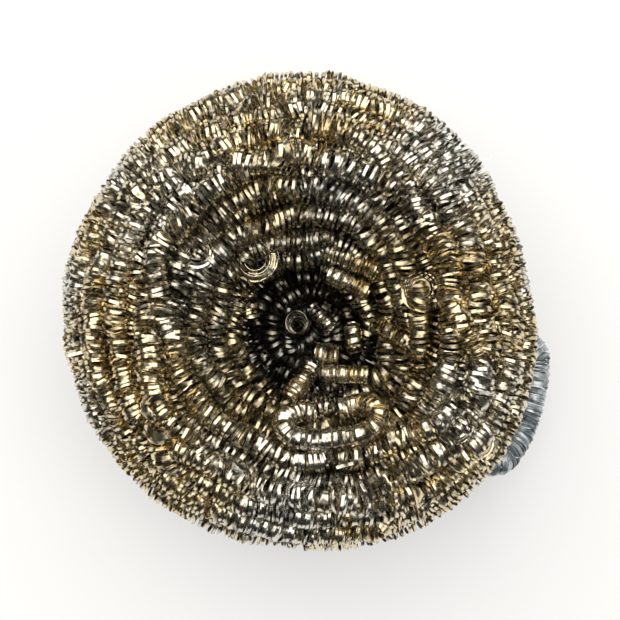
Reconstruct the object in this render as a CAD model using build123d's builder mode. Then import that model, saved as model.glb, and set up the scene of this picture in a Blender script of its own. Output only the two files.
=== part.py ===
from build123d import *
from math import atan2, ceil, cos, degrees, pi, radians, sin, sqrt
import os

# Pot scourer: strands of curled flat wire wound into a ball with a hollow on top.
# Each wound strand is one tube of its curls' outside diameter, and makes about two turns of the ball.
# The short strands in the hollow show their curls as wire.
# The origin is on the table under the middle of the ball, with +Z up and the hollow open upwards.

# Driving sizes of the ball, in millimetres. The strands are as thick as their turns leave room for
ball_diameter = 80.0
ball_height = 46.0
neck_diameter = 14.6
strand_gap = 0.8
wave_height = 1.4
flat_depth = 0.5
turns_per_strand = 1.75

# Section of the winding: a ring of oval section round the hollow
hollow_lean = 5.0
hollow_offset_x = 1.35
hollow_offset_y = -3.45
winding_shift = 2.2
winding_drift = 0.8

# Where the winding starts in the hollow and ends under the ball, as angles round the section
winding_start_angle = 148.0
winding_end_angle = -131.0
end_gap = 0.6

# Outline of the ball seen from above: a count of lobes, the share they swell it by, and their phase
outline_lobe_shares = ((2, 0.022, 103.0), (3, 0.015, 136.0), (4, 0.006, 141.0))

# Drift of the turns to and fro along the section: waves round the ball, share of the drift, and phase
drift_shares = ((2, 0.7, 20.0), (3, 0.3, 200.0))

# Waves in and out along the strands: waves in a turn, share of the wave height, and phase
wave_shares = ((1.37, 0.6, 40.0), (2.19, 0.4, 115.0))

# Core of inner turns, and the knot of strand ends that closes the neck
core_clearance = 0.55
core_top_angle = 80.0
core_recess_angle = -150.0
core_levels = 8
cut_overrun = 2.0
floor_depth = 5.2
knot_clearance = 2.8
knot_height = 5.0
knot_round = 2.0
knot_seat = 0.3

# Curled wire of the short strands
wire_diameter = 0.32
curl_outside = 3.2
curl_pitch = 1.25
curl_seat = 0.3
row_gap = 0.6

# Side loop: a slack turn that stands out of the rim
loop_middle_angle = -22.5
loop_half_angle = 13.5
loop_section_angle = -16.0
loop_bow = 2.5
loop_stand = 1.8
loop_seat = 0.6

# Front loop: an oval eye of curled strand over the front wall of the hollow
eye_side_angle = -79.0
eye_section_angle = 129.0
eye_length = 18.0
eye_width = 9.8
eye_opening = 1.0
eye_pitch = 2.0
eye_seat = 1.2

# Short strands on the wall at the foot of the hollow: name, row below the winding, and angles round it
wall_strand_angles = (
    ("wall_strand_upper", 0, 32.0, 84.0),
    ("wall_strand_lower", 1, 28.0, 80.0),
    ("wall_strand_front", 0, -100.0, -50.0),
)

# Strand end that stands up from the knot
knot_end_length = 5.6
knot_end_offset_x = -2.2
knot_end_offset_y = 0.6

strand_names = (
    "hollow_wall_strand",
    "hollow_edge_strand",
    "crown_inner_strand",
    "crown_middle_strand",
    "crown_outer_strand",
    "shoulder_strand",
    "rim_upper_strand",
    "rim_lower_strand",
    "belly_strand",
    "base_outer_strand",
    "base_inner_strand",
)

# Worked out from the driving sizes
turns_wound = turns_per_strand * len(strand_names)
back_azimuth = degrees(atan2(-hollow_offset_y, -hollow_offset_x))
curl_radius = (curl_outside - wire_diameter) / 2

# Steps used to measure along the section and along the strands
section_step = 2.0
bends_per_turn = 4
points_per_arc = 6
slope_step = 0.01
fit_rounds = 12


def outline_swell(azimuth):
    """How much wider than round the ball is at this azimuth, as a share."""
    return sum(share * cos(radians(lobes * azimuth + phase)) for lobes, share, phase in outline_lobe_shares)


def section_point(azimuth, angle):
    """Radius and height at an angle round the section, and the share of the hollow's offset there."""
    inner_share = (1 - cos(radians(angle))) / 2
    radius = ring_radius + half_width * cos(radians(angle)) + hollow_lean * sin(radians(angle)) * inner_share
    radius += rim_radius * outline_swell(azimuth) * (1 - inner_share)
    height = middle_height + half_height * sin(radians(angle))
    return radius, height, inner_share * (1 + sin(radians(angle)))


def section_out(azimuth, angle):
    """The same place measured straight out from the ball's own middle: distance out and height."""
    radius, height, share = section_point(azimuth, angle)
    along = hollow_offset_x * cos(radians(azimuth)) + hollow_offset_y * sin(radians(azimuth))
    return radius + share * along, height


def section_angle(azimuth, distance):
    """Angle round the section at a distance from the rim, measured along it towards the hollow."""
    step = section_step if distance > 0 else -section_step
    angle, left = 0.0, abs(distance)
    here = section_out(azimuth, angle)
    while True:
        there = section_out(azimuth, angle + step)
        length = sqrt((there[0] - here[0]) ** 2 + (there[1] - here[1]) ** 2)
        if length >= left:
            return angle + step * left / length
        angle, here, left = angle + step, there, left - length


def section_distance(azimuth, angle):
    """Distance along the section from the rim to an angle, positive towards the hollow."""
    steps = ceil(abs(angle) / section_step) + 1
    points = [section_out(azimuth, angle * i / steps) for i in range(steps + 1)]
    length = sum(sqrt((b[0] - a[0]) ** 2 + (b[1] - a[1]) ** 2) for a, b in zip(points, points[1:]))
    return length if angle > 0 else -length


def surface_point(azimuth, distance, lift):
    """Point on the winding surface, lifted square to it."""
    angle = section_angle(azimuth, distance)
    radius, height, share = section_point(azimuth, angle)
    after = section_out(azimuth, angle + slope_step)
    before = section_out(azimuth, angle - slope_step)
    run, rise = after[0] - before[0], after[1] - before[1]
    length = sqrt(run**2 + rise**2)
    radius += lift * rise / length
    height -= lift * run / length
    return Vector(
        radius * cos(radians(azimuth)) + share * hollow_offset_x,
        radius * sin(radians(azimuth)) + share * hollow_offset_y,
        height,
    )


# The winding runs from the hollow over the crown and the rim to the base. Its turns share the way along the
# section, so the strands' thickness and the section that they leave are fitted to each other in a few rounds
strand_diameter = ball_height / turns_wound
for fit_round in range(fit_rounds):
    strand_radius = strand_diameter / 2
    rim_radius = ball_diameter / 2 - strand_radius - wave_height / 2
    half_width = (rim_radius - neck_diameter / 2 - strand_radius) / 2
    ring_radius = rim_radius - half_width
    half_height = (ball_height + flat_depth - wave_height) / 2 - strand_radius
    middle_height = half_height + strand_radius - flat_depth
    start_distance = section_distance(back_azimuth, winding_start_angle)
    end_distance = section_distance(back_azimuth, winding_end_angle)
    turn_pitch = (start_distance - end_distance) / turns_wound
    strand_diameter = turn_pitch - strand_gap
strand_radius = strand_diameter / 2


def winding_distance(turn):
    """Distance along the section after this many turns. The turns lie level towards the base."""
    azimuth = 360 * turn
    distance = start_distance - turn_pitch * turn
    angle = section_angle(azimuth, distance)
    radius, height = section_out(azimuth, angle)
    drift = sum(share * cos(radians(waves * azimuth + phase)) for waves, share, phase in drift_shares)
    shift = winding_shift * cos(radians(azimuth - back_azimuth)) + winding_drift * drift
    return distance + shift * radius / rim_radius * (1 + sin(radians(angle))) / 2


def winding_point(turn):
    """Point on the wound strands after this many turns. Their waves fade out towards the base."""
    azimuth = 360 * turn
    distance = winding_distance(turn)
    wave = sum(share * sin(2 * pi * count * turn + radians(phase)) for count, share, phase in wave_shares)
    fade = (1 + sin(radians(section_angle(azimuth, distance)))) / 2
    return surface_point(azimuth, distance, wave_height * fade * (1 + wave) / 2)


def route_tangent(route, place):
    """Direction of a route at a place on it."""
    step = slope_step / bends_per_turn
    return (route(place + step) - route(place - step)).normalized()


def biarc_route(route, first, last, bends):
    """Tangent arcs along a route, two for each of its bends."""
    places = [first + (last - first) * i / bends for i in range(bends + 1)]
    points = [route(place) for place in places]
    tangents = [route_tangent(route, place) for place in places]
    for start, end, out, into in zip(points, points[1:], tangents, tangents[1:]):
        chord = end - start
        pull = chord.dot(out + into)
        spread = 1 - out.dot(into)
        reach = (sqrt(pull**2 + 2 * spread * chord.dot(chord)) - pull) / (2 * spread)
        middle = (start + end + (out - into) * reach) / 2
        arc = TangentArc(start, middle, tangent=out)
        TangentArc(middle, end, tangent=arc % 1)


def curled(route, turns, beside):
    """Route of a wire curled round another route. A place on it runs from 0 to the number of turns."""
    def curl_point(place):
        middle = route(place / turns)
        along = (route((place + slope_step) / turns) - route((place - slope_step) / turns)).normalized()
        side = along.cross(beside).normalized()
        up = side.cross(along)
        return middle + (side * cos(2 * pi * place) + up * sin(2 * pi * place)) * curl_radius

    return curl_point


def least_gap(line, thickness, reach):
    """Least clear space of a tube to itself, between places further apart than this along it."""
    arcs = line.edges()
    points = [arc @ (i / points_per_arc) for arc in arcs for i in range(points_per_arc)]
    lengths = [0.0]
    for a, b in zip(points, points[1:]):
        lengths.append(lengths[-1] + (b - a).length)
    near = min(
        (b - a).length
        for i, a in enumerate(points)
        for b, along in zip(points[i:], lengths[i:])
        if along - lengths[i] > reach
    )
    return near - thickness


def route_length(route):
    """Length of a route that runs from 0 to 1."""
    points = [route(i / (points_per_arc**2)) for i in range(points_per_arc**2 + 1)]
    return sum((b - a).length for a, b in zip(points, points[1:]))


os.makedirs("parts", exist_ok=True)
pieces = []

# Wound strands, one after the other along the winding
for index, name in enumerate(strand_names):
    first = index * turns_per_strand
    last = first + turns_per_strand
    here = winding_point(last)
    last -= end_gap / (2 * pi * sqrt(here.X**2 + here.Y**2))
    with BuildPart() as strand:
        with BuildLine() as strand_line:
            biarc_route(winding_point, first, last, ceil((last - first) * bends_per_turn))
        with BuildSketch(Plane(origin=strand_line.line @ 0, z_dir=strand_line.line % 0)):
            Circle(strand_radius)
        sweep()
        if strand.part.bounding_box().min.Z < 0:
            split(bisect_by=Plane.XY, keep=Keep.TOP)
    strand.part.label = name
    pieces.append(strand.part)
    gap = least_gap(strand_line.line, strand_diameter, 2 * pi * strand_diameter)
    print(name, "turns", round(last - first, 2), "least gap to itself", round(gap, 2))
print("turns wound", turns_wound, "strand diameter", round(strand_diameter, 3))


def core_circle(angle):
    """Plane and radius of the core's outline at an angle round the section, clear of the strands all round."""
    drop = strand_radius + core_clearance
    back = surface_point(back_azimuth, section_distance(back_azimuth, angle), -drop)
    front_azimuth = back_azimuth + 180
    front = surface_point(front_azimuth, section_distance(front_azimuth, angle), -drop)
    across = (back - front).normalized()
    plane = Plane((back + front) / 2, x_dir=across, z_dir=across.cross(across.cross(Vector(0, 0, 1))) * -1)
    swell = (outline_swell(back_azimuth) + outline_swell(front_azimuth)) / 2
    tightest = min(outline_swell(azimuth) for azimuth in range(360))
    outer_share = (1 + cos(radians(angle))) / 2
    return plane, (back - front).length / 2 - rim_radius * outer_share * (swell - tightest)


def core_angles(first, last):
    """Evenly spaced angles round the section."""
    return [first + (last - first) * i / core_levels for i in range(core_levels + 1)]


def row_drop(row):
    """Distance along the section from the first turn of the winding down to a row of short strands."""
    return strand_radius + row_gap + curl_outside / 2 + row * (curl_outside + row_gap)


# The floor of the hollow lies below the lowest row of short strands
lowest_row = max(row for name, row, first_angle, last_angle in wall_strand_angles)
floor_distance = start_distance + row_drop(lowest_row) + curl_outside / 2 + floor_depth
core_floor_angle = section_angle(back_azimuth, floor_distance)

# Inner turns, as a plain core that follows the winding surface from inside
with BuildPart() as inner_turns_core:
    for angle in core_angles(-core_top_angle, core_top_angle):
        plane, radius = core_circle(angle)
        with BuildSketch(plane):
            Circle(radius)
    loft()
    for angle in core_angles(core_floor_angle, 180 - core_top_angle):
        plane, radius = core_circle(angle)
        with BuildSketch(plane):
            Circle(radius)
    loft(mode=Mode.SUBTRACT)
    with BuildSketch(plane):
        Circle(radius)
    extrude(amount=cut_overrun, mode=Mode.SUBTRACT)
    for angle in core_angles(core_recess_angle, core_top_angle - 180):
        plane, radius = core_circle(angle)
        with BuildSketch(plane):
            Circle(radius)
    loft(mode=Mode.SUBTRACT)
    with BuildSketch(plane):
        Circle(radius)
    extrude(amount=-cut_overrun, mode=Mode.SUBTRACT)
inner_turns_core.part.label = "inner_turns_core"
pieces.append(inner_turns_core.part)

# Knot of strand ends on the floor of the hollow
floor_plane, floor_radius = core_circle(core_floor_angle)
knot_bottom = floor_plane.offset(knot_seat)
with BuildPart() as centre_knot:
    with BuildSketch(knot_bottom):
        Circle(neck_diameter / 2 - knot_clearance)
    extrude(amount=knot_height)
    fillet(centre_knot.edges().filter_by(GeomType.CIRCLE), radius=knot_round)
centre_knot.part.label = "centre_knot"
pieces.append(centre_knot.part)


def curl_strand(name, route, beside, pitch):
    """Short strand that shows its curls: one wire curled along a route."""
    turns = round(route_length(route) / pitch)
    curl_route = curled(route, turns, beside)
    with BuildPart() as strand:
        with BuildLine() as curl_line:
            biarc_route(curl_route, 0, turns, turns * bends_per_turn)
        with BuildSketch(Plane(origin=curl_line.line @ 0, z_dir=curl_line.line % 0)):
            Circle(wire_diameter / 2)
        sweep()
    strand.part.label = name
    pieces.append(strand.part)
    gap = least_gap(curl_line.line, wire_diameter, pi * curl_radius)
    print(name, "curls", turns, "least gap to itself", round(gap, 2))
    return turns


def wall_route(row, first_angle, last_angle):
    """Route along the foot of the hollow's wall, in a row below the first turn of the winding."""
    down = row_drop(row)
    lift = curl_outside / 2 + curl_seat - strand_radius - core_clearance

    def route(place):
        azimuth = (first_angle + (last_angle - first_angle) * place) % 360
        return surface_point(azimuth, winding_distance(azimuth / 360) + down, lift)

    return route


# Short strands on the wall at the foot of the hollow
curls_made = 0
for name, row, first_angle, last_angle in wall_strand_angles:
    curls_made += curl_strand(name, wall_route(row, first_angle, last_angle), Vector(0, 0, 1), curl_pitch)

# Strand end that stands up from the knot
end_bottom = knot_bottom.offset(knot_height + curl_seat + wire_diameter / 2).origin
end_bottom += Vector(knot_end_offset_x, knot_end_offset_y, 0)


def knot_end_route(place):
    """Upright route from the top of the knot."""
    return end_bottom + knot_bottom.z_dir * knot_end_length * place


curls_made += curl_strand("knot_end_strand", knot_end_route, Vector(1, 0, 0), curl_pitch)

# Front loop, an oval eye that lies over the turns at the front edge of the hollow
eye_lift = strand_radius + eye_seat + curl_outside / 2
eye_distance = section_distance(eye_side_angle, eye_section_angle)
eye_middle = surface_point(eye_side_angle, eye_distance, eye_lift)
eye_beside = surface_point(eye_side_angle + slope_step, eye_distance, eye_lift)
eye_above = surface_point(eye_side_angle, eye_distance - slope_step, eye_lift)
azimuth_per_length = slope_step / (eye_beside - eye_middle).length
distance_per_length = slope_step / (eye_above - eye_middle).length


def eye_route(place):
    """Route round the eye, two straight sides and two round ends, from one side of its opening to the other."""
    end_radius = (eye_width - curl_outside) / 2
    side = eye_length - eye_width
    around = 2 * side + 2 * pi * end_radius - eye_opening - curl_outside
    run = (eye_opening + curl_outside) / 2 + around * place
    if run < side / 2:
        along, across = -run, end_radius
    elif run < side / 2 + pi * end_radius:
        angle = (run - side / 2) / end_radius
        along, across = -side / 2 - end_radius * sin(angle), end_radius * cos(angle)
    elif run < side / 2 + pi * end_radius + side:
        along, across = run - pi * end_radius - side, -end_radius
    elif run < side / 2 + 2 * pi * end_radius + side:
        angle = (run - 3 * side / 2) / end_radius - pi
        along, across = side / 2 + end_radius * sin(angle), -end_radius * cos(angle)
    else:
        along, across = side / 2 - (run - 3 * side / 2 - 2 * pi * end_radius), end_radius
    azimuth = eye_side_angle + along * azimuth_per_length
    return surface_point(azimuth, eye_distance + across * distance_per_length, eye_lift)


curls_made += curl_strand("front_loop", eye_route, Vector(0, 0, 1), eye_pitch)
print("curls in all", curls_made)


def side_loop_point(place):
    """Route of the slack turn outside the rim, bowed down at its middle."""
    azimuth = loop_middle_angle + loop_half_angle * (2 * place - 1)
    distance = section_distance(azimuth, loop_section_angle) - loop_bow * sin(pi * place)
    return surface_point(azimuth, distance, strand_diameter + loop_seat + loop_stand * sin(pi * place))


with BuildPart() as side_loop:
    with BuildLine() as loop_line:
        biarc_route(side_loop_point, 0, 1, bends_per_turn)
    with BuildSketch(Plane(origin=loop_line.line @ 0, z_dir=loop_line.line % 0)):
        Circle(strand_radius)
    sweep()
side_loop.part.label = "side_loop"
pieces.append(side_loop.part)

# The ball stands with the middle of its overall width and depth over the origin
box = Compound(children=[Solid(piece.solid().wrapped) for piece in pieces]).bounding_box()
to_middle = Location((-box.center().X, -box.center().Y, 0))
print("size", [round(v, 2) for v in box.size], "moved by", [round(v, 3) for v in to_middle.position])
for piece in pieces:
    label = piece.label
    placed = piece.moved(to_middle)
    placed.label = label
    export_step(placed, f"parts/{label}.step")
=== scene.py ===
import bpy
import math
import numpy as np
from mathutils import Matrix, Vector


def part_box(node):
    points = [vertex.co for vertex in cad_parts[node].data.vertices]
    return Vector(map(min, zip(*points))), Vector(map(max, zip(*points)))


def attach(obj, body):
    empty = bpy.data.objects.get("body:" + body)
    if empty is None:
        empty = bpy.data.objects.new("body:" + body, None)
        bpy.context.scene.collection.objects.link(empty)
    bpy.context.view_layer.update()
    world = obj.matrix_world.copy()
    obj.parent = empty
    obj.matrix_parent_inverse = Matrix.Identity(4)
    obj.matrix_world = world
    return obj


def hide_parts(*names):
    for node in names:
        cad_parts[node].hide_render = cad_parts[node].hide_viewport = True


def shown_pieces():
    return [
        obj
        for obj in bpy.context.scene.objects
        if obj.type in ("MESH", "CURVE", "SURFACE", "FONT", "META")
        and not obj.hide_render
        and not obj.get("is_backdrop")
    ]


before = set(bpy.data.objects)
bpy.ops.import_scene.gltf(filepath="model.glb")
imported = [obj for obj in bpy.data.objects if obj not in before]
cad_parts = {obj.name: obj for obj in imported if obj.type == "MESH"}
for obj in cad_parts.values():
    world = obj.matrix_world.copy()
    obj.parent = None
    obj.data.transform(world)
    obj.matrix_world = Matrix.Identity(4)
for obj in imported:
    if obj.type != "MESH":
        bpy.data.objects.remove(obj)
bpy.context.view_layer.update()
bpy.ops.object.select_all(action="DESELECT")
print("frame loaded,", len(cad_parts), "nodes")

# Sizes in the dictionaries are millimetres and degrees, but for the studio's; meshes are made in metres
mm = 0.001

# The ball's winding, with the same values as the CAD
ball = {
    "diameter": 80.0, "height": 46.0, "neck": 14.6, "gap": 0.8, "wave": 1.4, "flat": 0.5,
    "lean": 5.0, "offset": (1.35, -3.45), "shift": 2.2, "drift": 0.8,
    "startAngle": 148.0, "endAngle": -131.0, "turns": 19.25, "turnsPerStrand": 1.75,
    "lobes": ((2, 0.022, 103.0), (3, 0.015, 136.0), (4, 0.006, 141.0)),
    "drifts": ((2, 0.7, 20.0), (3, 0.3, 200.0)),
    "waves": ((1.37, 0.6, 40.0), (2.19, 0.4, 115.0)),
}

strandNames = (
    "hollow_wall_strand", "hollow_edge_strand", "crown_inner_strand", "crown_middle_strand",
    "crown_outer_strand", "shoulder_strand", "rim_upper_strand", "rim_lower_strand",
    "belly_strand", "base_outer_strand", "base_inner_strand",
)

# How the flat wire is curled in the wound strands
wireCurls = {
    "outside": 4.1,         # diameter over the curls
    "pitch": 0.86,          # from one curl to the next
    "ribbon": 0.46,         # width of the flat wire
    "thickness": 0.1,
    "steps": 16,            # flats in a curl
    "pitchSpread": 0.32,    # how unevenly the curls are spaced, as a share
    "stretches": ((9, 1.0), (3, 0.5)),  # lengths and shares of the tight and open stretches
    "sizeSpread": 0.14,     # how unevenly the curls are sized, as a share
    "sizeRandom": 0.5,      # part of that from curl to curl
    "sizeSwell": (6, 0.8),  # part of it over stretches of curls: their number and share
    "tiltSpread": 0.22,     # lean of single curls, as a slope
    "tiltSwell": 7,         # curls in a stretch that leans one way
    "profileLean": 10.0,    # the flat wire's own lean on the curl
    "coneSpread": 0.11,     # how unevenly the flat wire leans, as a share of the curl's radius
    "jitter": 0.2,          # curls off the strand's line
    "wander": 1.25,         # strand off its turn, sideways
    "rise": 1.0,            # strand off its turn, outwards
    "taper": 0.0,           # how much wider the last curl is than the first
    "floor": 0.05,          # nothing lower than this
}
sharpAngle = 50.0           # the flat wire's edges are sharper than this
pathStep = 0.4              # between the points that curls are counted at along a strand
leastPoints = 8
leastCurls = 2

# How a strand leaves its turn: lengths and shares of its ripples, and the share of them left underneath
ripples = {"side": ((14, 0.6), (6, 0.5)), "up": ((11, 0.6), (5, 0.5)), "least": 0.15,
           "turnLength": 200.0, "turnPoints": 180}

# Sizes of the section that go with the strand's thickness, and the grid that distances are measured on
fit = {}
fitRounds = 12
probeAngle = 0.05
azimuthStep = 4
azimuthGrid = np.arange(0.0, 361.0, azimuthStep)
angleGrid = np.arange(-205.0, 206.0, 1.0)


def sectionAt(azimuth, angle):
    # radius and height at an angle round the section, and the share of the hollow's offset there
    c, s = np.cos(np.radians(angle)), np.sin(np.radians(angle))
    inner = (1 - c) / 2
    swell = sum(share * np.cos(np.radians(n * azimuth + p)) for n, share, p in ball["lobes"])
    radius = fit["ring"] + fit["halfWidth"] * c + ball["lean"] * s * inner
    radius = radius + fit["rim"] * swell * (1 - inner)
    return radius, fit["middle"] + fit["halfHeight"] * s, inner * (1 + s)


def sectionOut(azimuth, angle):
    # distance straight out from the ball's own middle, and height
    radius, height, share = sectionAt(azimuth, angle)
    east, north = np.cos(np.radians(azimuth)), np.sin(np.radians(azimuth))
    return radius + share * (ball["offset"][0] * east + ball["offset"][1] * north), height


def fitSection(strand):
    # section sizes that go with a strand's thickness, and a table of distances along the section
    fit["rim"] = ball["diameter"] / 2 - strand / 2 - ball["wave"] / 2
    fit["halfWidth"] = (fit["rim"] - ball["neck"] / 2 - strand / 2) / 2
    fit["ring"] = fit["rim"] - fit["halfWidth"]
    fit["halfHeight"] = (ball["height"] + ball["flat"] - ball["wave"]) / 2 - strand / 2
    fit["middle"] = fit["halfHeight"] + strand / 2 - ball["flat"]
    azimuth, angle = np.meshgrid(azimuthGrid, angleGrid, indexing="ij")
    out, height = sectionOut(azimuth, angle)
    steps = np.hypot(np.diff(out, axis=1), np.diff(height, axis=1))
    table = np.concatenate([np.zeros((len(azimuthGrid), 1)), np.cumsum(steps, axis=1)], axis=1)
    fit["table"] = table - table[:, [int(np.argmin(np.abs(angleGrid)))]]


def distanceTo(azimuth, angle):
    # distance along the section from the rim to an angle, positive towards the hollow
    near = min(int(azimuth % 360 // azimuthStep), len(azimuthGrid) - 2)
    part = azimuth % 360 / azimuthStep - near
    low, high = (np.interp(angle, angleGrid, fit["table"][k]) for k in (near, near + 1))
    return float(low * (1 - part) + high * part)


def angleAt(azimuth, distance):
    around = np.mod(azimuth, 360.0)
    near = np.minimum((around // azimuthStep).astype(int), len(azimuthGrid) - 2)
    part = around / azimuthStep - near
    low = np.array([np.interp(d, fit["table"][k], angleGrid) for d, k in zip(distance, near)])
    high = np.array([np.interp(d, fit["table"][k + 1], angleGrid) for d, k in zip(distance, near)])
    return low * (1 - part) + high * part


def liftedAt(azimuth, angle, lift):
    # point at an angle round the section, lifted square to the winding surface
    radius, height, share = sectionAt(azimuth, angle)
    outAfter, heightAfter = sectionOut(azimuth, angle + probeAngle)
    outBefore, heightBefore = sectionOut(azimuth, angle - probeAngle)
    run, climb = outAfter - outBefore, heightAfter - heightBefore
    length = np.hypot(run, climb)
    radius = radius + lift * climb / length
    height = height - lift * run / length
    x = radius * np.cos(np.radians(azimuth)) + share * ball["offset"][0]
    y = radius * np.sin(np.radians(azimuth)) + share * ball["offset"][1]
    return np.stack([x, y, height], axis=-1)


def surfaceAt(azimuth, distance, lift):
    return liftedAt(azimuth, angleAt(azimuth, distance), lift)


backAzimuth = math.degrees(math.atan2(-ball["offset"][1], -ball["offset"][0]))
strand = ball["height"] / ball["turns"]
for fitRound in range(fitRounds):
    fitSection(strand)
    startDistance = distanceTo(backAzimuth, ball["startAngle"])
    turnPitch = (startDistance - distanceTo(backAzimuth, ball["endAngle"])) / ball["turns"]
    strand = turnPitch - ball["gap"]
print("strand", round(strand, 3), "mm, turns", round(turnPitch, 3), "mm apart")


def smoothNoise(place, size, seed):
    # smooth noise from -1 to 1 along a strand, with features of about this size
    rng = np.random.default_rng(seed)
    steps = place / size
    knots = rng.uniform(-1, 1, int(np.max(steps)) + 4)
    low = np.floor(steps).astype(int)
    part = steps - low
    part = part * part * (3 - 2 * part)
    return knots[low] * (1 - part) + knots[low + 1] * part


def rippleAt(place, parts, seed):
    return sum(share * smoothNoise(place, size, seed + k) for k, (size, share) in enumerate(parts))


def turnDistance(turn):
    azimuth = 360 * turn
    distance = startDistance - turnPitch * turn
    angle = angleAt(azimuth, distance)
    radius, height = sectionOut(azimuth, angle)
    drift = sum(share * np.cos(np.radians(n * azimuth + p)) for n, share, p in ball["drifts"])
    shift = ball["shift"] * np.cos(np.radians(azimuth - backAzimuth)) + ball["drift"] * drift
    return distance + shift * radius / fit["rim"] * (1 + np.sin(np.radians(angle))) / 2


def windingPath(first, last, seed, inset=0.0, slide=0.0, wander=0.0, rise=0.0):
    # centre line of a wound strand, with its own wander on top of the CAD's turns
    turn = np.linspace(first, last, int((last - first) * ripples["turnPoints"]) + 2)
    azimuth = 360 * turn
    distance = turnDistance(turn)
    fade = (1 + np.sin(np.radians(angleAt(azimuth, distance)))) / 2
    wave = sum(share * np.sin(2 * np.pi * n * turn + math.radians(p)) for n, share, p in ball["waves"])
    place = turn * ripples["turnLength"]
    side = wander * rippleAt(place, ripples["side"], seed)
    up = rise * rippleAt(place, ripples["up"], seed + 2)
    loose = ripples["least"] + (1 - ripples["least"]) * fade
    lift = ball["wave"] * fade * (1 + wave) / 2 - inset + up * loose
    return surfaceAt(azimuth, distance + slide + side, lift)


# The CAD stands with its overall middle over the origin, so the winding is moved the same way
low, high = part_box("rim_upper_strand")
perStrand = ball["turnsPerStrand"]
rimIndex = strandNames.index("rim_upper_strand")
rimPath = windingPath(rimIndex * perStrand, (rimIndex + 1) * perStrand, 0)
toMiddle = [(low[k] + high[k]) / 2 / mm - (rimPath[:, k].min() + rimPath[:, k].max()) / 2 for k in (0, 1)]
toMiddle = np.array([toMiddle[0], toMiddle[1], 0.0])
print("moved by", toMiddle.round(3), "mm")


def verticesOf(piece):
    co = np.empty(len(piece.data.vertices) * 3)
    piece.data.vertices.foreach_get("co", co)
    return co.reshape(-1, 3)


def straightCoil(name, curls, spec):
    # a flat wire's section, screwed into a straight coil along X
    bpy.ops.object.select_all(action="DESELECT")
    radius = (spec["outside"] - spec["thickness"]) / 2 * mm
    leaning = (math.pi / 2, math.radians(spec["profileLean"]), 0)
    bpy.ops.mesh.primitive_plane_add(size=1, location=(0, 0, radius), rotation=leaning)
    coil = bpy.context.object
    coil.name = name
    coil.scale = (spec["ribbon"] * mm, spec["thickness"] * mm, 1)
    bpy.ops.object.transform_apply(location=True, rotation=True, scale=True)
    bpy.ops.object.mode_set(mode="EDIT")
    bpy.ops.mesh.select_all(action="SELECT")
    bpy.ops.mesh.delete(type="ONLY_FACE")
    bpy.ops.object.mode_set(mode="OBJECT")
    bpy.ops.object.modifier_add(type="SCREW")
    screw = coil.modifiers["Screw"]
    screw.axis = "X"
    screw.steps = screw.render_steps = spec["steps"]
    screw.iterations = curls
    screw.screw_offset = spec["pitch"] * mm
    screw.use_smooth_shade = True
    screw.use_merge_vertices = False
    bpy.ops.object.modifier_apply(modifier="Screw")
    return coil


def pointsAlong(length):
    return np.linspace(0, length, max(int(length / (pathStep * mm)), leastPoints))


def evenTurns(s, spec, seed):
    # curls counted along the strand: stretches of tight and of open curls
    wide = 1 + spec["pitchSpread"] * rippleAt(s / mm, spec["stretches"], seed + 11)
    pitch = spec["pitch"] * mm * wide
    return np.concatenate([[0.0], np.cumsum(np.diff(s) / ((pitch[1:] + pitch[:-1]) / 2))])


def uneven(coil, curls, length, spec, seed):
    # curl by curl: spacing, size, lean and place off the strand's line; x is along and y, z across
    rng = np.random.default_rng(seed)
    s = pointsAlong(length)
    co = verticesOf(coil)
    corners = 4  # of the flat wire's section
    u = (np.arange(len(co)) // corners) / spec["steps"]
    local = co[:, 0] - u * spec["pitch"] * mm
    count = curls + 3  # some to spare past the last curl
    knots = np.arange(count)
    swellCurls, swellShare = spec["sizeSwell"]
    spread = spec["sizeRandom"] * rng.uniform(-1, 1, count)
    spread = spread + swellShare * smoothNoise(knots, swellCurls, seed + 13)
    size = np.interp(u, knots, 1 + spec["sizeSpread"] * spread) + spec["taper"] * (u / curls - 0.5)
    cone = np.interp(u, knots, spec["coneSpread"] * rng.uniform(-1, 1, count))
    size = size * (1 + cone * local / (spec["ribbon"] * mm / 2))
    lean, off = [], []
    for k in (0, 1):
        lean.append(np.interp(u, knots, spec["tiltSpread"] * rng.uniform(-1, 1, count))
                    + spec["tiltSpread"] * smoothNoise(u, spec["tiltSwell"], seed + 14 + k))
        off.append(np.interp(u, knots, spec["jitter"] * mm * rng.uniform(-1, 1, count)))
    y = co[:, 1] * size + off[0]
    z = co[:, 2] * size + off[1]
    x = np.interp(u, evenTurns(s, spec, seed), s) + local + lean[0] * y + lean[1] * z
    return np.clip(x, 0, length), y, z


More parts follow.
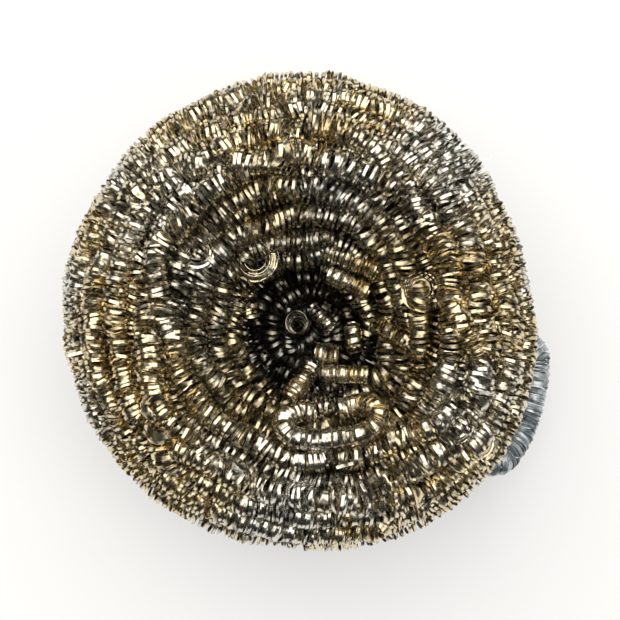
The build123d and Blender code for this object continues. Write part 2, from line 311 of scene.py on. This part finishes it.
def curlAlong(name, path, spec, seed, material, beside=(0, 0, 1)):
    # one strand: a straight coil made uneven and laid along a path given in the ball's millimetres
    path = (np.asarray(path) + toMiddle) * mm
    run = np.concatenate([[0.0], np.cumsum(np.linalg.norm(np.diff(path, axis=0), axis=1))])
    along = np.gradient(path, run, axis=0)
    along /= np.linalg.norm(along, axis=1)[:, None]
    side = np.cross(along, np.array(beside, float))
    side /= np.linalg.norm(side, axis=1)[:, None]
    up = np.cross(side, along)
    curls = max(int(evenTurns(pointsAlong(run[-1]), spec, seed)[-1]), leastCurls)
    coil = straightCoil(name, curls, spec)
    x, y, z = uneven(coil, curls, run[-1], spec, seed)
    out = np.stack([np.interp(x, run, path[:, k]) + y * np.interp(x, run, side[:, k])
                    + z * np.interp(x, run, up[:, k]) for k in range(3)], axis=1)
    out[:, 2] = np.maximum(out[:, 2], spec["floor"] * mm)
    coil.data.vertices.foreach_set("co", out.ravel())
    coil.data.update()
    bpy.ops.object.mode_set(mode="EDIT")
    bpy.ops.mesh.select_all(action="SELECT")
    bpy.ops.mesh.fill_holes(sides=4)
    bpy.ops.mesh.normals_make_consistent(inside=False)
    bpy.ops.object.mode_set(mode="OBJECT")
    coil.data.set_sharp_from_angle(angle=math.radians(sharpAngle))
    coil.data.materials.append(material)
    bpy.ops.object.select_all(action="DESELECT")
    return coil


def keep(piece, slot, *nodes):
    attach(piece, "root")
    if nodes:
        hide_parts(*nodes)


# Metal of the flat wire: pale steel with patches of painted warm reflection, and flecks of painted shade from
# curl to curl
finish = {
    # the warm colour is a painted warm reflection on the pale steel, and the darkest one is painted shade
    "warmReflection": (0.76, 0.64, 0.41), "pale": (0.70, 0.68, 0.61), "paintedShade": (0.11, 0.10, 0.08),
    # the cool colours are a painted cool reflection, and the darker of them is painted shade
    "cool": (0.56, 0.61, 0.64), "coolDull": (0.22, 0.25, 0.27),
    "patch": (60.0, 3),         # scale and detail of the patches
    "reflectionEdge": (0.36, 0.56),  # noise between which pale turns to painted warm reflection
    "fleck": (620.0, 2),        # scale and detail of the flecks
    "shadeFleckEdge": (0.50, 0.66),  # noise between which the metal turns to painted shade
    "grainEdge": (0.3, 0.7),    # noise between which it turns from smoothest to roughest
    "smoother": 0.06,
    "rougher": 0.1,
}

# Colours of the patches and flecks in each wire's finish, its roughness, and how far it is dimmed as painted
# shade
wires = {
    "brightWire": ("warmReflection", "pale", "paintedShade", 0.22, 1.0),
    "deepShadeWire": ("warmReflection", "pale", "paintedShade", 0.28, 0.35),      # painted shade on the turns under the outer layer
    "shadeWire": ("warmReflection", "pale", "paintedShade", 0.25, 0.68),     # painted shade on the hollow's first strands
    "darkShadeWire": ("paintedShade", "paintedShade", "paintedShade", 0.45, 0.6),       # painted shade for the packed middle
    "coolWire": ("cool", "cool", "coolDull", 0.5, 1.0),    # side loop, with a painted cool reflection
}


def mapRange(nodes, low, high, least=0.0, most=1.0):
    node = nodes.new("ShaderNodeMapRange")
    for name, value in (("From Min", low), ("From Max", high), ("To Min", least), ("To Max", most)):
        node.inputs[name].default_value = value
    return node


def noiseTexture(nodes, scale, detail):
    node = nodes.new("ShaderNodeTexNoise")
    node.inputs["Scale"].default_value = scale
    node.inputs["Detail"].default_value = detail
    return node


def toneGroup():
    group = bpy.data.node_groups.new("wireTone", "ShaderNodeTree")
    for name in ("WarmReflection", "Pale", "Dull"):
        group.interface.new_socket(name, in_out="INPUT", socket_type="NodeSocketColor")
    group.interface.new_socket("Color", in_out="OUTPUT", socket_type="NodeSocketColor")
    group.interface.new_socket("Grain", in_out="OUTPUT", socket_type="NodeSocketFloat")
    nodes, links = group.nodes, group.links
    enter, leave = nodes.new("NodeGroupInput"), nodes.new("NodeGroupOutput")
    where = nodes.new("ShaderNodeTexCoord")
    patch = noiseTexture(nodes, *finish["patch"])
    fleck = noiseTexture(nodes, *finish["fleck"])
    # share of painted warm reflection, in patches
    warmReflectionShare = mapRange(nodes, *finish["reflectionEdge"])
    # flecks of painted shade, from curl to curl
    shadeSpots = mapRange(nodes, *finish["shadeFleckEdge"])
    first, second = nodes.new("ShaderNodeMix"), nodes.new("ShaderNodeMix")
    for mix in (first, second):
        mix.data_type = "RGBA"
    links.new(where.outputs["Object"], patch.inputs["Vector"])
    links.new(where.outputs["Object"], fleck.inputs["Vector"])
    links.new(patch.outputs["Fac"], warmReflectionShare.inputs["Value"])
    links.new(fleck.outputs["Fac"], shadeSpots.inputs["Value"])
    links.new(warmReflectionShare.outputs["Result"], first.inputs["Factor"])
    links.new(enter.outputs["Pale"], first.inputs["A"])
    links.new(enter.outputs["WarmReflection"], first.inputs["B"])
    links.new(shadeSpots.outputs["Result"], second.inputs["Factor"])
    links.new(first.outputs["Result"], second.inputs["A"])
    links.new(enter.outputs["Dull"], second.inputs["B"])
    links.new(second.outputs["Result"], leave.inputs["Color"])
    links.new(fleck.outputs["Fac"], leave.inputs["Grain"])
    return group


wireTone = toneGroup()


def wireMaterial(name):
    *colours, roughness, shadeDim = wires[name]
    material = bpy.data.materials.new(name)
    material.use_nodes = True
    nodes, links = material.node_tree.nodes, material.node_tree.links
    shader = nodes["Principled BSDF"]
    shader.inputs["Metallic"].default_value = 1.0
    tone = nodes.new("ShaderNodeGroup")
    tone.node_tree = wireTone
    for socket, colour in zip(("WarmReflection", "Pale", "Dull"), colours):
        # each colour is dimmed by the wire's painted shade
        tone.inputs[socket].default_value = [c * shadeDim for c in finish[colour]] + [1]
    smoothest, roughest = roughness - finish["smoother"], roughness + finish["rougher"]
    rough = mapRange(nodes, *finish["grainEdge"], smoothest, roughest)
    links.new(tone.outputs["Color"], shader.inputs["Base Color"])
    links.new(tone.outputs["Grain"], rough.inputs["Value"])
    links.new(rough.outputs["Result"], shader.inputs["Roughness"])
    return material


brightWire, deepShadeWire, shadeWire, darkShadeWire, coolWire = (wireMaterial(name) for name in wires)
print("materials made")

# Wound strands of the outer layer, one for each CAD strand, and their diameters over the curls
strandSizes = (3.6, 3.9, 4.5, 4.0, 4.4, 3.9, 4.1, 4.1, 4.2, 4.0, 3.8)
shadedStrands = 2
for index, name in enumerate(strandNames):
    spec = dict(wireCurls, outside=strandSizes[index])
    # the seed is the strand's own, here and below, so that one strand can change alone
    path = windingPath(index * perStrand, (index + 1) * perStrand, 40 + index,
                       wander=spec["wander"], rise=spec["rise"])
    # the hollow's first strands take the wire with painted shade
    material = shadeWire if index < shadedStrands else brightWire
    keep(curlAlong(name + "_curls", path, spec, 100 + index, material), "scourer_wire", name)
print("wound strands made")

# Thinner turns in the grooves between them, and the turns under both, darker with painted shade
grooveCurls = dict(wireCurls, outside=3.2, pitch=0.86, ribbon=0.4, steps=14, floor=0.3)
groove = {"parts": 4, "first": 0.6, "last": 13.5, "inset": 1.8, "wander": 1.0, "rise": 0.9}
for index in range(groove["parts"]):
    span = (groove["last"] - groove["first"]) / groove["parts"]
    first = groove["first"] + index * span
    path = windingPath(first, first + span, 60 + index, inset=groove["inset"], slide=-turnPitch / 2,
                       wander=groove["wander"], rise=groove["rise"])
    # the first groove part takes the wire with painted shade
    material = shadeWire if index == 0 else brightWire
    keep(curlAlong(f"groove_turns_{index + 1}", path, grooveCurls, 130 + index, material), "scourer_wire")

innerCurls = dict(wireCurls, outside=4.4, pitch=1.6, ribbon=0.58, steps=12, floor=1.2)
inner = {"parts": 3, "ends": 0.2, "inset": 4.0, "wander": 0.9, "rise": 0.4}
for index in range(inner["parts"]):
    span = (ball["turns"] - 2 * inner["ends"]) / inner["parts"]
    first = inner["ends"] + index * span
    path = windingPath(first, first + span, 70 + index, inset=inner["inset"], slide=-turnPitch / 2,
                       wander=inner["wander"], rise=inner["rise"])
    keep(curlAlong(f"inner_turns_{index + 1}", path, innerCurls, 140 + index, deepShadeWire), "inner_wire")
print("inner turns made")

# Packed middle of the ball, coloured with painted shade that shows between the turns: how far in, and its
# lumps' height and number
packed = {"inset": 6.2, "lump": 0.8, "lumpsAround": 23, "lumpsAcross": 17, "segments": (96, 48)}


def shapeTo(piece, place):
    piece.data.vertices.foreach_set("co", ((place + toMiddle) * mm).ravel())
    piece.data.update()


def packedMiddle():
    # a ring whose vertices are taken to the same place round the winding surface, further in
    bpy.ops.object.select_all(action="DESELECT")
    around, across = packed["segments"]
    ringSize, tubeSize = 0.02, 0.01
    bpy.ops.mesh.primitive_torus_add(major_segments=around, minor_segments=across, major_radius=ringSize,
                                     minor_radius=tubeSize)
    middle = bpy.context.object
    middle.name = "inner_turns_mass"
    co = verticesOf(middle)
    azimuth = np.degrees(np.arctan2(co[:, 1], co[:, 0]))
    angle = np.degrees(np.arctan2(co[:, 2], np.hypot(co[:, 0], co[:, 1]) - ringSize))
    lumpAround = np.sin(np.radians(packed["lumpsAround"] * azimuth))
    lumpAcross = np.sin(np.radians(packed["lumpsAcross"] * angle))
    shapeTo(middle, liftedAt(azimuth, angle, packed["lump"] * lumpAround * lumpAcross - packed["inset"]))
    middle.data.materials.append(darkShadeWire)
    return middle


keep(packedMiddle(), "inner_wire", "inner_turns_core")

# Mass of turns that closes the middle under the hollow's floor, coloured with painted shade
neck = {"size": (10.5, 10.5, 4.5), "height": 14.5, "lump": 0.035, "lumpRates": (6, 5), "segments": (48, 24)}


def neckMass():
    bpy.ops.object.select_all(action="DESELECT")
    around, across = neck["segments"]
    bpy.ops.mesh.primitive_uv_sphere_add(segments=around, ring_count=across, radius=1)
    mass = bpy.context.object
    mass.name = "neck_turns_mass"
    co = verticesOf(mass)
    rateX, rateY = neck["lumpRates"]
    lumps = neck["lump"] * np.sin(rateX * co[:, 0] + 2) * np.sin(rateY * co[:, 1])
    middle = np.array([ball["offset"][0], ball["offset"][1] / 2, neck["height"]])
    shapeTo(mass, co * np.array(neck["size"]) * (1 + lumps[:, None]) + middle)
    mass.data.materials.append(darkShadeWire)
    return mass


keep(neckMass(), "inner_wire")

# Hollow: turns round its floor, a tangle of strand ends over the knot, and short strands on its wall
shortCurls = dict(wireCurls, outside=3.2, pitch=0.72, ribbon=0.42, sizeSpread=0.1, jitter=0.12)
tightCurls = dict(shortCurls, pitch=0.4, ribbon=0.34, sizeSpread=0.05, jitter=0.05, tiltSpread=0.1)
floorTurns = {"outside": 3.8, "turns": 3.3, "reach": 12.5, "narrows": 8.2, "below": 2.5, "climb": 1.5,
              "wave": 1.1, "waveRate": 1.7, "points": 400}
tangle = {"outside": 2.6, "reach": (3.4, 3.2, 1.8), "rate": (15.7, 21.1, 11.3), "turned": (0.4, 0.0, 1.0),
          "points": 400}
wall = {"gap": 0.6, "sink": 0.6, "points": 60}
knotEnd = {"pitch": 0.6, "ribbon": 0.3, "taper": 0.5, "sway": 0.6, "bends": 3, "lean": 0.5, "points": 30}


def cornersOf(node):
    # a node's lowest and highest corners in the ball's millimetres
    return [np.array(corner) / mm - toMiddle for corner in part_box(node)]


def floorPath(middle):
    t = np.linspace(0, 1, floorTurns["points"])
    around = 2 * np.pi * floorTurns["turns"] * t
    reach = floorTurns["reach"] - floorTurns["narrows"] * t
    height = floorTurns["climb"] * t + floorTurns["wave"] * np.sin(around * floorTurns["waveRate"])
    return np.stack([middle[0] + reach * np.cos(around), middle[1] + reach * np.sin(around),
                     middle[2] - floorTurns["below"] + height], axis=1)


def tanglePath(middle):
    t = np.linspace(0, 1, tangle["points"])
    x, y, z = (rate * t + turned for rate, turned in zip(tangle["rate"], tangle["turned"]))
    return middle + np.array(tangle["reach"]) * np.stack([np.cos(x), np.sin(y), np.sin(z)], axis=1)


def wallPath(row, firstAngle, lastAngle):
    # along the wall of the hollow, in the first or second row under its edge
    azimuth = np.linspace(firstAngle, lastAngle, wall["points"])
    drop = strand / 2 + wall["gap"] + shortCurls["outside"] * (row + 0.5) + wall["gap"] * row
    lift = np.full(wall["points"], -wall["sink"])
    return surfaceAt(azimuth, turnDistance(np.mod(azimuth, 360) / 360) + drop, lift)


def knotEndPath(lowest, highest):
    t = np.linspace(0, 1, knotEnd["points"])
    x, y = (lowest[:2] + highest[:2]) / 2
    return np.stack([x + knotEnd["sway"] * np.sin(knotEnd["bends"] * t), y + knotEnd["lean"] * t,
                     lowest[2] + (highest[2] - lowest[2]) * t], axis=1)


knotMiddle = sum(cornersOf("centre_knot")) / 2
floorCurls = dict(wireCurls, outside=floorTurns["outside"])
# the floor turns and the knot's tangle take the wire with painted shade
keep(curlAlong("hollow_floor_turns", floorPath(knotMiddle), floorCurls, 180, deepShadeWire), "inner_wire")
knotCurls = dict(shortCurls, outside=tangle["outside"])
knot = curlAlong("centre_knot_turns", tanglePath(knotMiddle), knotCurls, 190, deepShadeWire)
keep(knot, "inner_wire", "centre_knot")

# Name, row under the edge, and first and last azimuth
wallStrands = (("wall_strand_upper", 0, 32.0, 84.0), ("wall_strand_lower", 1, 28.0, 80.0),
               ("wall_strand_front", 0, -100.0, -50.0))
for index, (name, *place) in enumerate(wallStrands):
    strandOnWall = curlAlong(name + "_curls", wallPath(*place), shortCurls, 200 + index, brightWire)
    keep(strandOnWall, "scourer_wire", name)

endCurls = dict(shortCurls, pitch=knotEnd["pitch"], ribbon=knotEnd["ribbon"], taper=knotEnd["taper"])
# the knot's end takes the wire with painted shade
keep(curlAlong("knot_end_curls", knotEndPath(*cornersOf("knot_end_strand")), endCurls, 210, deepShadeWire,
               beside=(1, 0, 0)), "scourer_wire", "knot_end_strand")

# Points on a straight strand, and the section angles at which the crown's height is looked up
straightPoints = 40
crownAngles = np.arange(0.0, 150.0, 2.0)


def straightPath(start, end, bow=0.0):
    # between two places in the frame's millimetres, with its middle raised
    t = np.linspace(0, 1, straightPoints)[:, None]
    start, end = np.array(start, float) - toMiddle, np.array(end, float) - toMiddle
    return start + (end - start) * t + np.array([0, 0, 1.0]) * bow * np.sin(np.pi * t)


def topHeight(x, y):
    # height of the winding surface's crown at a place, in the frame's millimetres
    azimuth = math.degrees(math.atan2(y - toMiddle[1], x - toMiddle[0]))
    points = liftedAt(np.full(len(crownAngles), azimuth), crownAngles, np.zeros(len(crownAngles)))
    gaps = np.hypot(points[:, 0] + toMiddle[0] - x, points[:, 1] + toMiddle[1] - y)
    return points[int(np.argmin(gaps)), 2]


def onTop(x, y, over):
    return x, y, topHeight(x, y) + over


# Loose strands in and round the hollow: name, curls, ends, and how far the middle rises
barrelCurls = dict(tightCurls, pitch=0.33, ribbon=0.29, tiltSpread=0.05)
looseStrands = (
    ("hollow_shelf_upper", dict(barrelCurls, outside=3.7), onTop(2.4, 9.2, 2.2), onTop(12.0, 5.2, 2.4), 0.6),
    ("hollow_shelf_lower", dict(tightCurls, outside=3.2), (3.0, 5.2, 34.5), (9.4, 2.4, 34.5), 0.6),
    ("hollow_barrel", dict(barrelCurls, outside=3.0), (1.9, -11.0, 32.0), (9.9, -11.2, 33.5), 0.3),
    ("hollow_barrel_short", dict(barrelCurls, outside=3.8), (1.2, -7.7, 29.5), (4.8, -8.1, 30.0), 0.1),
    ("hollow_barrel_right", dict(tightCurls, outside=2.8), (7.0, -3.0, 28.0), (7.7, -7.4, 30.0), 0.2),
    ("hollow_barrel_knot", dict(tightCurls, outside=2.6), (0.5, 0.2, 25.0), (4.2, -3.6, 26.5), 0.3),
    ("hollow_slack_left", shortCurls, (-10.4, 2.4, 30.0), (-9.4, -2.6, 29.5), 0.6),
    ("hollow_slack_right", shortCurls, (10.6, -2.4, 31.0), onTop(18.4, -8.0, 0.2), 0.8),
    ("hollow_slack_front", tightCurls, (0.4, -10.0, 30.5), onTop(-3.2, -15.2, 0.4), 0.4),
)
for index, (name, spec, start, end, bow) in enumerate(looseStrands):
    keep(curlAlong(name, straightPath(start, end, bow), spec, 240 + index, brightWire), "scourer_wire")

# Strand ends seen end on, as rings: name, place, height over the turns, size, and where they point
ringLength = 2.4
ringSink = 1.5  # of the foot under that height
ringCurls = dict(shortCurls, pitch=0.45, ribbon=0.2, sizeSpread=0.04, jitter=0.12, tiltSpread=0.1, taper=-0.9,
                 steps=20)
ringEnds = (
    ("ring_end_hollow", (-9.0, 7.4), 1.2, 5.2, (0.15, -0.1, 1.0)),
    ("ring_end_knot", (-1.2, -2.7), -14.0, 3.6, (0.1, 0.05, 1.0)),
    ("ring_end_shelf", (17.8, 2.0), 1.4, 4.4, (-0.1, 0.1, 1.0)),
    ("ring_end_front", (22.5, -19.5), 1.6, 4.4, (0.1, -0.1, 1.0)),
    ("ring_end_corner", (26.7, -22.0), 1.6, 4.6, (0.2, -0.2, 1.0)),
    ("ring_end_left", (-17.5, 7.5), 1.2, 4.2, (-0.1, 0.3, 1.0)),
    ("ring_end_back", (-13.0, 22.0), 1.2, 4.0, (0.0, 0.3, 1.0)),
)
for index, (name, place, over, size, towards) in enumerate(ringEnds):
    towards = np.array(towards) / np.linalg.norm(towards)
    foot = np.array([place[0], place[1], topHeight(*place) + over - ringSink])
    path = straightPath(foot, foot + ringLength * towards)
    # the ring at the knot takes the wire with painted shade
    material = deepShadeWire if name == "ring_end_knot" else brightWire
    keep(curlAlong(name, path, dict(ringCurls, outside=size), 260 + index, material, beside=(1, 0, 0)),
         "scourer_wire")

# Straight ends of the flat wire that stick out: held end, free end, and the held end's height over the turns
wireEnds = {
    "width": 0.5, "thickness": 0.1, "climb": 0.2, "bow": 0.35, "steps": 8,
    "ends": (((-35.2, -7.3), (-38.9, -8.2), 1.3), ((8.8, -36.2), (10.2, -38.9), 1.0),
             ((28.0, 24.2), (30.6, 26.0), 1.0), ((-26.0, 23.2), (-28.2, 25.4), 1.0),
             ((4.6, 36.2), (6.4, 38.4), 0.8), ((8.0, -25.0), (4.2, -26.0), 1.9)),
}


def wireEnd(start, end):
    # a strip of the flat wire, bowed as it springs out of its curl
    length = (end - start).length
    bpy.ops.object.select_all(action="DESELECT")
    bpy.ops.mesh.primitive_grid_add(x_subdivisions=wireEnds["steps"], y_subdivisions=1, size=1)
    strip = bpy.context.object
    strip.scale = (length, wireEnds["width"] * mm, 1)
    bpy.ops.object.transform_apply(location=False, rotation=False, scale=True)
    for vertex in strip.data.vertices:
        vertex.co.z = wireEnds["bow"] * mm * math.cos(math.pi * vertex.co.x / length)
    bpy.ops.object.modifier_add(type="SOLIDIFY")
    strip.modifiers["Solidify"].thickness = wireEnds["thickness"] * mm
    bpy.ops.object.modifier_apply(modifier="Solidify")
    strip.location = (start + end) / 2
    strip.rotation_euler = (end - start).to_track_quat("X", "Z").to_euler()
    bpy.ops.object.transform_apply(location=True, rotation=True, scale=True)
    return strip


def strayEnds():
    strips = []
    for held, free, over in wireEnds["ends"]:
        height = topHeight(*held) + over
        strips.append(wireEnd(Vector((*held, height)) * mm, Vector((*free, height + wireEnds["climb"])) * mm))
    for strip in strips:
        strip.select_set(True)
    bpy.ops.object.join()
    ends = bpy.context.object
    ends.name = "stray_wire_ends"
    ends.data.materials.append(brightWire)
    bpy.ops.object.select_all(action="DESELECT")
    return ends


keep(strayEnds(), "scourer_wire")

# Front loop: the oval eye over the front edge of the hollow
eye = {"side": -79.0, "section": 129.0, "length": 18.0, "width": 9.8, "opening": 1.0, "seat": 1.2,
       "strand": 3.2, "probe": 0.1, "points": 240}
eyeCurls = dict(tightCurls, outside=3.5, pitch=0.56, ribbon=0.48, sizeSpread=0.1)


def eyePath():
    lift = strand / 2 + eye["seat"] + eye["strand"] / 2
    distance = distanceTo(eye["side"], eye["section"])
    step = eye["probe"]
    probe = surfaceAt(np.array([eye["side"], eye["side"] + step, eye["side"]]),
                      np.array([distance, distance, distance - step]), np.full(3, lift))
    perLength = step / np.linalg.norm(probe[1] - probe[0])
    perWidth = step / np.linalg.norm(probe[2] - probe[0])
    bend = (eye["width"] - eye["strand"]) / 2
    half = (eye["length"] - eye["width"]) / 2
    trim = (eye["opening"] + eye["strand"]) / 2
    arc = math.pi * bend
    run = np.linspace(trim, 4 * half + 2 * arc - trim, eye["points"])
    turned = np.clip((run - half) / bend, 0, math.pi) + np.clip((run - 3 * half - arc) / bend, 0, math.pi)
    along = -bend * np.sin(turned) - np.minimum(run, half)
    along += np.clip(run - half - arc, 0, 2 * half) - np.maximum(run - 3 * half - 2 * arc, 0)
    across = bend * np.cos(turned)
    return surfaceAt(eye["side"] + along * perLength, distance + across * perWidth, np.full(len(run), lift))


keep(curlAlong("front_loop_curls", eyePath(), eyeCurls, 220, brightWire), "scourer_wire", "front_loop")

# Side loop: the slack turn outside the rim, with its ends tucked into the turns
sideLoop = {"middle": -22.5, "half": 13.5, "section": -16.0, "bow": 2.5, "seat": 0.6, "stand": 1.8,
            "tuck": 2.5, "tucked": 0.12, "points": 90}
sideCurls = dict(tightCurls, outside=4.4, pitch=0.62, ribbon=0.5)


def sideLoopPath():
    t = np.linspace(-sideLoop["tucked"], 1 + sideLoop["tucked"], sideLoop["points"])
    azimuth = sideLoop["middle"] + sideLoop["half"] * (2 * t - 1)
    rise = np.sin(np.pi * np.clip(t, 0, 1))
    distance = np.array([distanceTo(a, sideLoop["section"]) for a in azimuth]) - sideLoop["bow"] * rise
    inwards = sideLoop["tuck"] * np.maximum(np.abs(t - 0.5) - 0.5, 0) / sideLoop["tucked"]
    return surfaceAt(azimuth, distance, strand + sideLoop["seat"] + sideLoop["stand"] * rise - inwards)


# the side loop's wire carries a painted cool reflection
keep(curlAlong("side_loop_curls", sideLoopPath(), sideCurls, 230, coolWire), "scourer_wire", "side_loop")
print("short strands made")

# Slack strands that cross the turns: first and last azimuth, section angles there, and lift
slackStrands = (
    (196, 128, 108, 78, 1.3), (150, 96, 62, 88, 1.2), (84, 30, 70, 96, 1.4), (18, -30, 104, 74, 1.3),
    (-52, -96, 62, 86, 1.0), (-112, -158, 92, 66, 1.2), (-24, -60, 92, 112, 1.0), (232, 206, 60, 84, 1.1),
    (60, 112, 40, 54, 1.0), (0, 44, 46, 60, 1.0), (-64, -120, 36, 44, 0.9), (168, 214, 40, 52, 0.9),
)
slack = {"outside": 3.9, "outsideSpread": 0.3, "outsideRate": 2.1, "length": 60, "points": 120,
         "sway": (2.5, 12), "rise": (0.6, 9), "tuck": 4.0, "tucked": 0.25}


def slackPath(index, first, last, firstSection, lastSection, lift):
    t = np.linspace(0, 1, slack["points"])
    ease = t * t * (3 - 2 * t)
    azimuth = first + (last - first) * t
    place = t * slack["length"]
    swayAngle, swayLength = slack["sway"]
    angle = firstSection + (lastSection - firstSection) * ease
    angle = angle + swayAngle * smoothNoise(place, swayLength, 300 + index)
    rise, riseLength = slack["rise"]
    inwards = slack["tuck"] * np.maximum(np.abs(2 * t - 1) - (1 - slack["tucked"]), 0) / slack["tucked"]
    return liftedAt(azimuth, angle, lift + rise * smoothNoise(place, riseLength, 320 + index) - inwards)


for index, course in enumerate(slackStrands):
    outside = slack["outside"] + slack["outsideSpread"] * math.sin(index * slack["outsideRate"])
    keep(curlAlong(f"slack_strand_{index + 1}", slackPath(index, *course), dict(wireCurls, outside=outside),
                   340 + index, brightWire), "scourer_wire")
print("slack strands made")

# Camera over the ball, as the photograph was taken
view = {"elevation": 86.0, "distance": 300.0, "aim": (0.1, 0.0, 24.0), "pixelsPerMm": 5.96, "picture": 620,
        "sensor": 36, "near": 10.0}


def addCamera():
    data = bpy.data.cameras.new("camera")
    camera = bpy.data.objects.new("camera", data)
    bpy.context.scene.collection.objects.link(camera)
    tilt = math.radians(view["elevation"])
    aim = Vector([c * mm for c in view["aim"]])
    camera.location = aim + Vector((0, -math.cos(tilt), math.sin(tilt))) * view["distance"] * mm
    camera.rotation_euler = (aim - camera.location).to_track_quat("-Z", "Y").to_euler()
    data.sensor_width = view["sensor"]
    data.lens = data.sensor_width * view["distance"] / (view["picture"] / view["pixelsPerMm"])
    data.clip_start = view["near"] * mm
    bpy.context.scene.camera = camera


addCamera()

# Studio: pale floor, and each light's place in metres, its size, power and colour
studio = {
    "floor": (0.86, 0.86, 0.86), "floorRoughness": 0.9, "floorSize": 4.0,
    "floorShown": 0.45,  # share of white that the camera and the metal see on the floor
    "world": 0.03, "aim": (0, 0, 0.02),
    "key": ((-0.06, 0.24, 0.68), 1.3, 13.4, (1.0, 0.97, 0.92)),
    "fill": ((0.60, -0.30, 0.50), 0.4, 0.9, (0.94, 0.97, 1.0)),
}


def softLight(name, place, size, power, colour):
    data = bpy.data.lights.new(name, "AREA")
    data.shape = "SQUARE"
    data.size = size
    data.energy = power
    data.color = colour
    lamp = bpy.data.objects.new(name, data)
    lamp.location = place
    lamp.rotation_euler = (Vector(studio["aim"]) - Vector(place)).to_track_quat("-Z", "Y").to_euler()
    bpy.context.scene.collection.objects.link(lamp)


def floorMaterial():
    # pale floor that keeps the shadow, shown near white to the camera and in the metal
    pale = bpy.data.materials.new("paleFloor")
    pale.use_nodes = True
    nodes, links = pale.node_tree.nodes, pale.node_tree.links
    shader = nodes["Principled BSDF"]
    shader.inputs["Base Color"].default_value = (*studio["floor"], 1)
    shader.inputs["Roughness"].default_value = studio["floorRoughness"]
    shader.inputs["Specular IOR Level"].default_value = 0.0
    white = nodes.new("ShaderNodeEmission")
    path = nodes.new("ShaderNodeLightPath")
    either, anyRay, share = (nodes.new("ShaderNodeMath") for k in range(3))
    either.operation = anyRay.operation = "MAXIMUM"
    share.operation = "MULTIPLY"
    share.inputs[1].default_value = studio["floorShown"]
    mix = nodes.new("ShaderNodeMixShader")
    links.new(path.outputs["Is Camera Ray"], either.inputs[0])
    links.new(path.outputs["Is Glossy Ray"], either.inputs[1])
    links.new(either.outputs[0], anyRay.inputs[0])
    links.new(path.outputs["Is Transmission Ray"], anyRay.inputs[1])
    links.new(anyRay.outputs[0], share.inputs[0])
    links.new(share.outputs[0], mix.inputs["Fac"])
    links.new(shader.outputs["BSDF"], mix.inputs[1])
    links.new(white.outputs["Emission"], mix.inputs[2])
    links.new(mix.outputs["Shader"], nodes["Material Output"].inputs["Surface"])
    return pale


def addStudio():
    bpy.ops.object.select_all(action="DESELECT")
    bpy.ops.mesh.primitive_plane_add(size=studio["floorSize"], location=(0, 0, 0))
    floor = bpy.context.object
    floor.name = "floor"
    floor.data.materials.append(floorMaterial())
    floor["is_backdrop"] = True
    world = bpy.data.worlds.new("studio")
    bpy.context.scene.world = world
    world.use_nodes = True
    world.node_tree.nodes["Background"].inputs["Color"].default_value = (1, 1, 1, 1)
    world.node_tree.nodes["Background"].inputs["Strength"].default_value = studio["world"]
    for name in ("key", "fill"):
        softLight(name + "Light", *studio[name])
    bpy.ops.object.select_all(action="DESELECT")


addStudio()
bpy.context.scene.view_settings.view_transform = "Standard"
print("studio ready")

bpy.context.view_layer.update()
triangles = sum(len(p.vertices) - 2 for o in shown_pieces() if o.type == "MESH" for p in o.data.polygons)
print("triangles", triangles)
